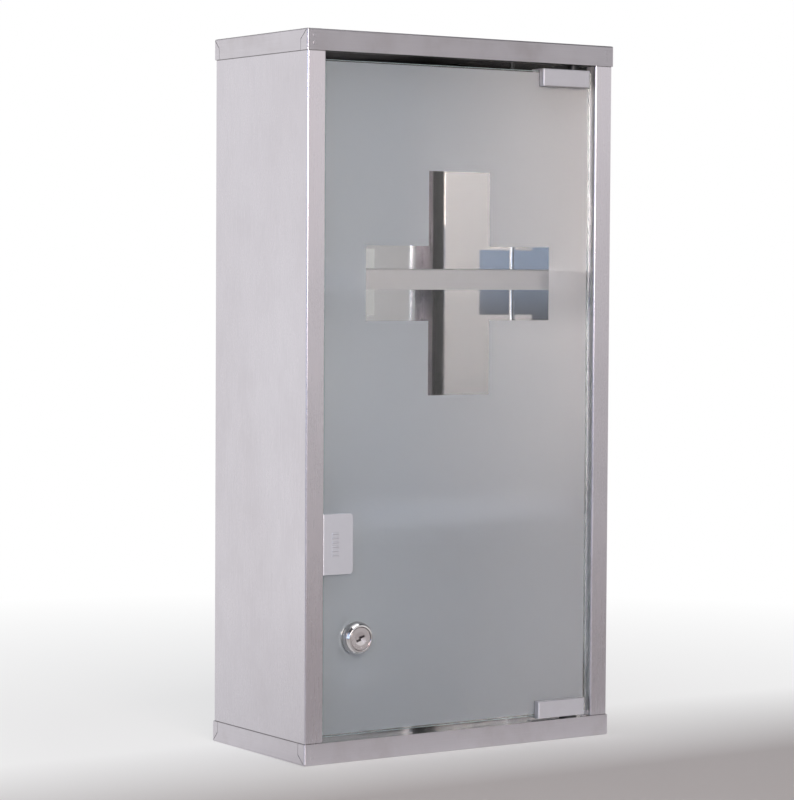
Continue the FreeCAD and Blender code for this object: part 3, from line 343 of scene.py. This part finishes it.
def sheet_steel(name, limits, grain_along, roughness=0.36, stretch=0.75, inner=(0.70, 0.69, 0.685),
                inner_roughness=0.03, smudged=0.10, painted_shade=(), seam_shade=(), haze=0.0):
    """Stainless sheet: brushed satin with finger smudges past the limits, and inside them as the mill rolled it.

    Inside, it may be painted near black past further limits, as painted shade, and have a haze of fine scratches.
    Outside, it may have painted shade along the seam lines.
    """
    shader = Shader(name)
    outside = beyond(shader, limits)
    streaks = shader.noise(SHEET_STREAKS[grain_along], detail=5.0)
    clouds = shader.noise(SHEET_CLOUDS)
    handled = shader.noise(HANDLING, detail=6.0, roughness=0.65)
    satin = shader.blend(shader.ramp(clouds, 0.0, 1.0), SATIN_DARK, SATIN_LIGHT)
    satin = shader.blend(shader.ramp(streaks, 0.0, STREAK_SHARE), satin, STREAK_TONE)
    satin = shader.blend(shader.ramp(handled, 0.0, smudged, SMUDGE_SPAN), satin, SMUDGE_TONE)
    # Painted shade along the seam lines.
    if seam_shade:
        satin = shader.blend(shader.math("MULTIPLY", beyond(shader, seam_shade), SEAM_SHADE_SHARE), satin, SEAM_SHADE_TONE)
    inside = (*inner, 1.0)
    # Painted shade, near black, past these limits.
    if painted_shade:
        inside = shader.blend(beyond(shader, painted_shade), inside, SKIRT_BACK_SHADE)
    satin_roughness = shader.math(
        "ADD", shader.ramp(streaks, roughness - STREAK_ROUGHNESS, roughness + STREAK_ROUGHNESS),
        shader.ramp(handled, *SMUDGE_ROUGHNESS))
    rough = shader.add("ShaderNodeMix", {0: outside, 2: inner_roughness, 3: satin_roughness}).outputs[0]
    grooves = shader.add("ShaderNodeBump", {
        "Height": streaks, "Strength": shader.math("MULTIPLY", outside, STREAK_BUMP["strength"]),
        "Distance": STREAK_BUMP["distance"],
        "Normal": shader.bump(shader.noise(SHEET_WAVES, detail=1.0), **RIPPLE_BUMP)})
    facing = shader.add("ShaderNodeNewGeometry").outputs["Normal"]
    tangent = shader.add("ShaderNodeVectorMath", {0: facing, 1: GRAIN[grain_along]}, operation="CROSS_PRODUCT")
    surface = shader.add("ShaderNodeBsdfPrincipled", {
        "Base Color": shader.blend(outside, inside, satin),
        "Metallic": shader.ramp(outside, 1.0 - haze, 1.0, SHARE_SPAN) if haze else 1.0,
        "Roughness": rough, "Anisotropic": stretch, "Normal": grooves.outputs[0], "Tangent": tangent.outputs[0]})
    return shader.finish(surface.outputs[0])


def plain_metal(name, colour, worn, roughness, spread, marks=TOOLED, groove=0.03, near_black=(), haze=0.0):
    """Plated or drawn metal with fine tooling marks, dull spots and a little wear, near black past some limits."""
    shader = Shader(name)
    tooling = shader.noise(marks, detail=4.0)
    spots = shader.noise(DULL_SPOTS)
    tone = shader.blend(shader.ramp(spots, 0.0, 1.0, WEAR_SPAN), (*colour, 1.0), (*worn, 1.0))
    if near_black:
        tone = shader.blend(beyond(shader, near_black), tone, NEAR_BLACK_TONE)
    rough = shader.math("ADD", shader.ramp(spots, roughness, roughness + spread),
                        shader.ramp(tooling, 0.0, MARK_ROUGHNESS))
    surface = shader.add("ShaderNodeBsdfPrincipled", {
        "Base Color": tone, "Metallic": 1.0 - haze, "Roughness": rough,
        "Normal": shader.bump(tooling, groove, MARK_DEPTH)})
    return shader.finish(surface.outputs[0])


def moulded(name, colour, roughness, sheen=0.0):
    """Moulded plastic or rubber with a fine spark-eroded skin and faint flow clouding."""
    shader = Shader(name)
    skin = shader.noise(MOULD_SKIN)
    clouds = shader.noise(MOULD_CLOUDS)
    dark = tuple(FLOW_SHADE * part for part in colour)
    smoothest, roughest = (roughness + change for change in SKIN_ROUGHNESS)
    surface = shader.add("ShaderNodeBsdfPrincipled", {
        "Base Color": shader.blend(shader.ramp(clouds, 0.0, 1.0), (*dark, 1.0), (*colour, 1.0)),
        "Roughness": shader.ramp(skin, smoothest, roughest), "Sheen Weight": sheen,
        "Normal": shader.bump(skin, **SKIN_BUMP)})
    return shader.finish(surface.outputs[0])


def clear_glass(name, tint, roughness):
    """Float glass that lets lamps through, with the smears of a wiped pane."""
    shader = Shader(name)
    smears = shader.noise(GLASS_SMEARS, detail=5.0, roughness=0.6)
    glass = shader.add("ShaderNodeBsdfPrincipled", {
        "Base Color": (*tint, 1.0), "Transmission Weight": 1.0, "IOR": GLASS_IOR,
        "Roughness": shader.ramp(smears, roughness, roughness + SMEAR_ROUGHNESS, SMEAR_SPAN)})
    open_way = shader.add("ShaderNodeBsdfTransparent", {"Color": (*tint, 1.0)})
    shadow = shader.add("ShaderNodeLightPath").outputs["Is Shadow Ray"]
    return shader.finish(shader.mix(shadow, glass.outputs[0], open_way.outputs[0]))


def frosted_face():
    """Acid-frosted back of the pane: it scatters the room's light back and passes a blurred view of the inside."""
    shader = Shader("frosted_layer")
    grain = shader.noise(FROST_GRAIN, detail=2.0)
    clouds = shader.noise(FROST_CLOUDS)
    axes = shader.axes()
    # Painted glow: towards the top of the hinge side the frosting is paler and scatters more light back.
    painted_glow = shader.math("MULTIPLY", shader.ramp(axes["X"], 0.0, 1.0, PAINTED_GLOW_ACROSS_SPAN),
                             shader.ramp(axes["Z"], PAINTED_GLOW_LOW_SHARE, 1.0, PAINTED_GLOW_UP_SPAN))
    tone = shader.blend(shader.ramp(clouds, 0.0, 1.0), FROST_DEEP, FROST_PALE)
    tone = shader.blend(painted_glow, tone, FROST_PAINTED_GLOW)
    skin = shader.bump(grain, **FROST_BUMP)
    back = shader.add("ShaderNodeBsdfDiffuse", {"Color": tone, "Normal": skin}).outputs[0]
    through = shader.add("ShaderNodeBsdfTranslucent", {"Color": tone, "Normal": skin}).outputs[0]
    blurred = shader.add("ShaderNodeBsdfRefraction", {
        "Color": FROST_PASSES, "IOR": GLASS_IOR, "Roughness": shader.ramp(grain, *FROST_ROUGHNESS),
        "Normal": skin}).outputs[0]
    scattered = shader.mix(shader.ramp(painted_glow, *FROST_THROUGH_SHARES, SHARE_SPAN), back, through)
    return shader.finish(shader.mix(FROST_BLURRED_SHARE, scattered, blurred))


def finishes():
    """Every finish, by the part of the cabinet that wears it."""
    case_low, case_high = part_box("top_cap")
    panel_low, panel_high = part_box("left_side_panel")
    back_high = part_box("back_panel")[1]
    half = SHEET / 2
    panel_limits = [("X", -1, -panel_low[0] - half), ("X", 1, -panel_low[0] - half),
                    ("Y", -1, -panel_low[1] - STRIP_DEPTH), ("Y", 1, panel_high[1] - half)]
    cap_limits = [("X", -1, -case_low[0] - half), ("X", 1, case_high[0] - half),
                  ("Y", -1, -case_low[1] - half), ("Y", 1, case_high[1] - half),
                  ("Z", -1, -half), ("Z", 1, case_high[2] - half)]
    back_limits = [("Y", 1, back_high[1] - half)]
    # The backs of the front skirts get painted shade.
    skirt_backs = [("Y", -1, -case_low[1] - 2 * SHEET)]
    # Painted shade on the panels along the caps' edges.
    cap_edges = [("Z", 1, case_low[2] - SEAM_SHADE_WIDTH), ("Z", -1, -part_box("bottom_cap")[1][2] - SEAM_SHADE_WIDTH)]
    pane_low, pane_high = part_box("door_glass")
    # The clamps' pivot pins, past their crests, are near black.
    pin_limits = [("Z", 1, pane_high[2] + CLAMP_CREST), ("Z", -1, CLAMP_CREST - pane_low[2])]
    made = {
        "panel": sheet_steel("satin_steel_panel", panel_limits, "Z", seam_shade=cap_edges, **PANEL_SHEET),
        "base": sheet_steel("satin_steel_base", cap_limits, "X", painted_shade=skirt_backs, **BASE_SHEET),
        "roof": sheet_steel("satin_steel_roof", cap_limits, "X", painted_shade=skirt_backs, **ROOF_SHEET),
        "back": sheet_steel("bright_steel_back", back_limits, "Z"),
        "clamp": plain_metal(near_black=pin_limits, **CLAMP_METAL),
        "frost": frosted_face(),
    }
    for recipes, maker in ((METALS, plain_metal), (MOULDINGS, moulded), (GLASSES, clear_glass)):
        for part, recipe in recipes.items():
            made[part] = maker(**recipe)
    return made


def dress_nodes(finish):
    """Gives every solid that stays its finish."""
    for name, nodes in WEARS.items():
        for node in nodes:
            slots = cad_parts[node].data.materials
            slots.clear()
            slots.append(finish[name])


def new_piece(name, mesh_maker, materials, body):
    """A mesh piece on a body, with its finishes in its slots."""
    mesh = bpy.data.meshes.new(name)
    work = bmesh.new()
    mesh_maker(work)
    bmesh.ops.recalc_face_normals(work, faces=work.faces)
    work.to_mesh(mesh)
    work.free()
    for material in materials:
        mesh.materials.append(material)
    piece = bpy.data.objects.new(name, mesh)
    bpy.context.scene.collection.objects.link(piece)
    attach(piece, body)
    return piece


def smooth(piece):
    piece.data.shade_smooth()
    piece.data.set_sharp_from_angle(angle=SHARP_ANGLE)


def closed_loop(work, points, depth):
    """A ring of vertices and edges at one depth, from points across and up."""
    verts = [work.verts.new((x, depth, z)) for x, z in points]
    edges = [work.edges.new((vert, verts[(index + 1) % len(verts)])) for index, vert in enumerate(verts)]
    return verts, edges


def bridge(work, first, second, slot=0):
    """Quads between two rings with as many points each."""
    count = len(first)
    for index in range(count):
        after = (index + 1) % count
        face = work.faces.new((first[index], first[after], second[after], second[index]))
        face.material_index = slot


def fill(work, edges, slot):
    """Flat faces between an outer ring and the rings inside it."""
    made = bmesh.ops.triangle_fill(work, use_beauty=True, use_dissolve=False, edges=edges)
    for face in made["geom"]:
        if isinstance(face, bmesh.types.BMFace):
            face.material_index = slot


def lathe(work, profile, centre, sides):
    """A ring turned about Y from a closed profile of radius and depth, round a centre across and up."""
    rings = []
    for side in range(sides):
        turn = 2 * math.pi * side / sides
        spoke = (math.cos(turn), math.sin(turn))
        rings.append([work.verts.new((centre[0] + radius * spoke[0], depth, centre[1] + radius * spoke[1]))
                      for radius, depth in profile])
    for side, ring in enumerate(rings):
        bridge(work, ring, rings[(side + 1) % sides])


def box_points(low, high, inset):
    return [(low[0] + inset, low[2] + inset), (high[0] - inset, low[2] + inset),
            (high[0] - inset, high[2] - inset), (low[0] + inset, high[2] - inset)]


def circle_points(x, z, radius, sides):
    turns = [2 * math.pi * side / sides for side in range(sides)]
    return [(x + radius * math.cos(turn), z + radius * math.sin(turn)) for turn in turns]


def cross_points():
    span, arm = CROSS_SPAN / 2, CROSS_ARM / 2
    right_half = [(arm, span), (arm, arm), (span, arm), (span, -arm), (arm, -arm), (arm, -span)]
    whole = right_half + [(-x, -z) for x, z in right_half]
    return [(x, CROSS_HEIGHT + z) for x, z in whole]


def lock_axis():
    low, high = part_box("lock_plug")
    return (low[0] + high[0]) / 2, (low[2] + high[2]) / 2


def build_pane(work):
    """Pane with bevelled ground edges and the lock's hole, its back face frosted but for the cross."""
    low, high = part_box("door_glass")
    nut_low, nut_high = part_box("lock_nut")
    front, back = low[1], high[1] - FROST_DEPTH
    hole_radius = (nut_high[2] - nut_low[2]) / 2 - LOCK_NUT_WALL + LOCK_HOLE_PLAY
    hole = circle_points(*lock_axis(), hole_radius, HOLE_SIDES)
    clear, frosted, ground = 0, 1, 2
    front_rim, front_edges = closed_loop(work, box_points(low, high, GLASS_BEVEL), front)
    rim_front, _ = closed_loop(work, box_points(low, high, 0.0), front + GLASS_BEVEL)
    rim_back, _ = closed_loop(work, box_points(low, high, 0.0), back - GLASS_BEVEL)
    back_rim, _ = closed_loop(work, box_points(low, high, GLASS_BEVEL), back)
    film_rim, film_edges = closed_loop(work, box_points(low, high, FILM_MARGIN), back)
    hole_front, hole_front_edges = closed_loop(work, hole, front)
    hole_back, hole_back_edges = closed_loop(work, hole, back)
    cross, cross_edges = closed_loop(work, cross_points(), back)
    for first, second in ((front_rim, rim_front), (rim_front, rim_back), (rim_back, back_rim)):
        bridge(work, first, second, ground)
    bridge(work, hole_front, hole_back, ground)
    bridge(work, back_rim, film_rim, clear)
    fill(work, front_edges + hole_front_edges, clear)
    fill(work, film_edges + hole_back_edges + cross_edges, frosted)
    work.faces.new(cross).material_index = clear


def make_pane(finish):
    materials = [finish["glass"], finish["frost"], finish["ground"]]
    pane = new_piece("door_pane", build_pane, materials, "door")
    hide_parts("door_glass", "frost_film")


def make_lock_bezel(finish):
    """Barrel with its domed bezel: a flat rim, a swept flank and a short land over the gasket."""
    low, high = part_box("lock_barrel")
    plug_low, plug_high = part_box("lock_plug")
    gasket_low, gasket_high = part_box("lock_gasket")
    front, seat = low[1], gasket_low[1]
    bore = (plug_high[0] - plug_low[0]) / 2 + PLUG_PLAY
    base = (gasket_high[0] - gasket_low[0]) / 2
    shank = base - BEZEL_FLANGE
    mouth = [(bore + out, front + back) for out, back in BEZEL_MOUTH]
    flank_start = Vector((bore + BEZEL_FLANK[0], front + BEZEL_FLANK[1]))
    flank_end = Vector((base, seat - BEZEL_LAND))
    belly = Vector((base - BEZEL_BELLY[0], front + BEZEL_BELLY[1]))
    flank = []
    for step in range(BEZEL_STEPS + 1):
        share = step / BEZEL_STEPS
        first = flank_start.lerp(belly, share)
        second = belly.lerp(flank_end, share)
        flank.append(tuple(first.lerp(second, share)))
    foot = [(base, seat), (shank, seat), (shank, high[1]), (bore, high[1])]

    def ring(work):
        lathe(work, mouth + flank + foot, lock_axis(), BEZEL_SIDES)

    bezel = new_piece("lock_bezel", ring, [finish["lock"]], "door")
    smooth(bezel)
    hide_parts("lock_barrel")


def make_latch_spring(finish):
    """Compression spring of round wire, its end turns closed, wound between the plunger and the end cap."""
    low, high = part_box("latch_spring")
    across, up = (low[0] + high[0]) / 2, (low[2] + high[2]) / 2
    mean_radius = (high[0] - low[0]) / 2 - SPRING_WIRE / 2
    length = high[1] - low[1] - SPRING_WIRE
    steps = SPRING_TURNS * SPRING_STEPS

    def wire(work):
        rings = []
        for step in range(steps + 1):
            turn = 2 * math.pi * step / SPRING_STEPS
            share = step / steps
            climb = share - SPRING_CLOSING * math.sin(2 * math.pi * share)
            middle = Vector((across + mean_radius * math.cos(turn), low[1] + SPRING_WIRE / 2 + length * climb,
                             up + mean_radius * math.sin(turn)))
            outward = Vector((math.cos(turn), 0.0, math.sin(turn)))
            ring = []
            for corner in range(SPRING_SIDES):
                spin = 2 * math.pi * corner / SPRING_SIDES
                offset = outward * math.cos(spin) + INWARD * math.sin(spin)
                ring.append(work.verts.new(middle + offset * SPRING_WIRE / 2))
            rings.append(ring)
        for first, second in zip(rings, rings[1:]):
            bridge(work, first, second)
        work.faces.new(rings[0])
        work.faces.new(rings[-1])

    spring = new_piece("latch_coil", wire, [finish["zinc"]], "cabinet")
    smooth(spring)
    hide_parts("latch_spring")
    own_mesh(spring)


def make_corner_folds(finish):
    """Hollow radius of the folds where the back meets the sides, inside the case."""
    back_low, back_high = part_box("back_panel")

    def folds(work):
        for side in (-1, 1):
            corner = (side * back_high[0], back_low[1])
            arc = []
            for step in range(FOLD_STEPS + 1):
                turn = math.pi / 2 * step / FOLD_STEPS
                arc.append((corner[0] - side * FOLD_RADIUS * (1 - math.cos(turn)),
                            corner[1] - FOLD_RADIUS * (1 - math.sin(turn))))
            rings = [[work.verts.new((x, y, z)) for x, y in [*arc, corner]] for z in (back_low[2], back_high[2])]
            bridge(work, *rings)
            for ring in rings:
                work.faces.new(ring)

    smooth(new_piece("corner_folds", folds, [finish["corner"]], "cabinet"))


def rounded_bar(work, centre, half, depth, proud):
    """A low bar with a rounded crest, lying on a face at one depth."""
    rows = []
    for step in range(CLIP_RIB_STEPS + 1):
        turn = math.pi * step / CLIP_RIB_STEPS
        z = centre[1] + half[1] * math.cos(turn)
        y = depth - proud * math.sin(turn)
        rows.append([work.verts.new((centre[0] + side * half[0], y, z)) for side in (-1, 1)])
    for first, second in zip(rows, rows[1:]):
        work.faces.new((first[0], first[1], second[1], second[0]))
    work.faces.new([row[0] for row in rows])
    work.faces.new([row[1] for row in rows])
    work.faces.new((rows[0][0], rows[0][1], rows[-1][1], rows[-1][0]))


def make_clip_ribs(finish):
    """Short finger ribs pressed up in the middle of the strike clip."""
    low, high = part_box("strike_clip")
    across = low[0] + CLIP_RIB_INSET
    middle = (low[2] + high[2]) / 2

    def ribs(work):
        for index in range(CLIP_RIBS):
            z = middle + (index - (CLIP_RIBS - 1) / 2) * CLIP_RIB_PITCH
            rounded_bar(work, (across, z), CLIP_RIB_HALF, low[1], CLIP_RIB_PROUD)

    smooth(new_piece("clip_ribs", ribs, [finish["clip"]], "door"))


def make_weld_marks(finish):
    """Faint round marks that the spot welds leave on the front skirts of the caps."""
    low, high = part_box("top_cap")
    base_low, base_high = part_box("bottom_cap")
    profile = [(max(radius * WELD_RADIUS, WELD_EYE), low[1] - rise * WELD_RISE) for radius, rise in WELD_PROFILE]

    def marks(work):
        for side in (-1, 1):
            x = side * (high[0] - WELD_INSET)
            for bottom, top in ((low[2], high[2]), (base_low[2], base_high[2])):
                for share in WELD_HEIGHT_SHARES:
                    lathe(work, profile, (x, bottom + share * (top - bottom)), WELD_SIDES)

    smooth(new_piece("weld_marks", marks, [finish["base"]], "cabinet"))


class Sky(Shader):
    """The world's node tree, read by direction."""

    def __init__(self, world):
        world.use_nodes = True
        self.tree = world.node_tree
        self.tree.nodes.clear()
        self.place = self.add("ShaderNodeTexCoord").outputs["Generated"]

    def finish(self, colour):
        light = self.add("ShaderNodeBackground", {"Color": colour}).outputs[0]
        self.add("ShaderNodeOutputWorld", {"Surface": light})

    def towards(self, direction, span):
        """0 to 1 as the view turns towards a direction."""
        facing = self.add("ShaderNodeVectorMath", {0: self.place, 1: direction}, operation="DOT_PRODUCT")
        return self.ramp(facing.outputs["Value"], 0.0, 1.0, span)


def grey(level):
    return level, level, level, 1.0


def room_levels(sky):
    """The room's light by height, as a ramp of greys."""
    lowest, highest = ROOM_LEVELS[0][0], ROOM_LEVELS[-1][0]
    levels = sky.add("ShaderNodeValToRGB", {"Fac": sky.towards(UP, (lowest, highest))})
    stops = levels.color_ramp.elements
    stops.remove(stops[1])
    stops[0].color = grey(ROOM_LEVELS[0][1])
    for height, level in ROOM_LEVELS[1:]:
        stops.new((height - lowest) / (highest - lowest)).color = grey(level)
    return levels.outputs[0]


def area_lamp(name, place, width, height, power, colour):
    lamp = bpy.data.lights.new(name, "AREA")
    lamp.shape = "RECTANGLE"
    lamp.size = width
    lamp.size_y = height
    lamp.energy = power
    lamp.color = colour
    holder = bpy.data.objects.new(name, lamp)
    holder.location = place
    holder.rotation_euler = (LAMP_TARGET - place).to_track_quat("-Z", "Y").to_euler()
    bpy.context.scene.collection.objects.link(holder)


def light_studio():
    """White behind the cabinet, the room in front of it, the ceiling, and two soft boxes."""
    world = bpy.data.worlds.new("studio")
    bpy.context.scene.world = world
    sky = Sky(world)
    left = sky.blend(sky.towards(UP, ROOM_LOW_SPAN), ROOM_LEFT_LOW, ROOM_LEFT_TINT)
    tint = sky.blend(sky.towards(ACROSS, ROOM_RIGHT_SPAN), left, ROOM_RIGHT_TINT)
    room = sky.add("ShaderNodeVectorMath", {0: room_levels(sky), 1: tint}, operation="MULTIPLY").outputs[0]
    studio = sky.blend(sky.towards(BACKDROP_SIDE, BACKDROP_SPAN), room, WHITE)
    sky.finish(sky.blend(sky.towards(UP, CEILING_SPAN), studio, CEILING))
    for lamp in LAMPS:
        area_lamp(**lamp)


def floor_paper():
    """Pale paper, painted darker in front of the cabinet as painted shade, and glowing white far behind it."""
    shader = Shader("floor_paper")
    fibres = shader.noise(PAPER_FIBRES)
    pale = shader.blend(shader.ramp(fibres, 0.0, 1.0), PAPER_DARK, PAPER_LIGHT)
    behind = shader.ramp(shader.axes()["Y"], 0.0, 1.0, PAPER_BEHIND_SPAN)
    paper = shader.add("ShaderNodeBsdfDiffuse", {"Color": shader.blend(behind, PAPER_FRONT_SHADE, pale)})
    glow = shader.add("ShaderNodeEmission", {"Color": WHITE})
    path = shader.add("ShaderNodeLightPath").outputs
    seen = shader.math("MAXIMUM", path["Is Camera Ray"], path["Is Transmission Ray"])
    seen = shader.math("MAXIMUM", seen, path["Is Glossy Ray"])
    away = shader.add("ShaderNodeVectorMath", {0: shader.place}, operation="LENGTH").outputs["Value"]
    fade = shader.ramp(away, *GLOW_SHARES, GLOW_SPAN)
    share = shader.math("MULTIPLY", shader.math("MULTIPLY", fade, behind), seen)
    return shader.finish(shader.mix(share, paper.outputs[0], glow.outputs[0]))


def lay_floor():
    """Round pale floor that goes over into the white backdrop behind the cabinet and into the room in front."""
    work = bmesh.new()
    bmesh.ops.create_circle(work, cap_ends=True, segments=FLOOR_SIDES, radius=FLOOR_RADIUS)
    mesh = bpy.data.meshes.new("floor")
    work.to_mesh(mesh)
    work.free()
    mesh.materials.append(floor_paper())
    floor = bpy.data.objects.new("floor", mesh)
    floor.location.z = -FLOOR_GAP
    bpy.context.scene.collection.objects.link(floor)


def set_camera():
    look = CAMERA_LOOK.normalized()
    level = look.cross(UP).normalized()
    upright = level.cross(look)
    right = level * math.cos(CAMERA_ROLL) + upright * math.sin(CAMERA_ROLL)
    camera = bpy.data.cameras.new("camera")
    camera.lens = CAMERA_LENS
    camera.sensor_width = CAMERA_SENSOR
    camera.clip_start = CAMERA_NEAR
    holder = bpy.data.objects.new("camera", camera)
    turn = Matrix((right, right.cross(look), -look)).transposed().to_4x4()
    holder.matrix_world = Matrix.Translation(CAMERA_PLACE) @ turn
    bpy.context.scene.collection.objects.link(holder)
    bpy.context.scene.camera = holder


finish = finishes()
dress_nodes(finish)
make_pane(finish)
make_lock_bezel(finish)
make_latch_spring(finish)
make_corner_folds(finish)
make_clip_ribs(finish)
make_weld_marks(finish)
light_studio()
lay_floor()
set_camera()
bpy.context.scene.view_settings.view_transform = "Standard"
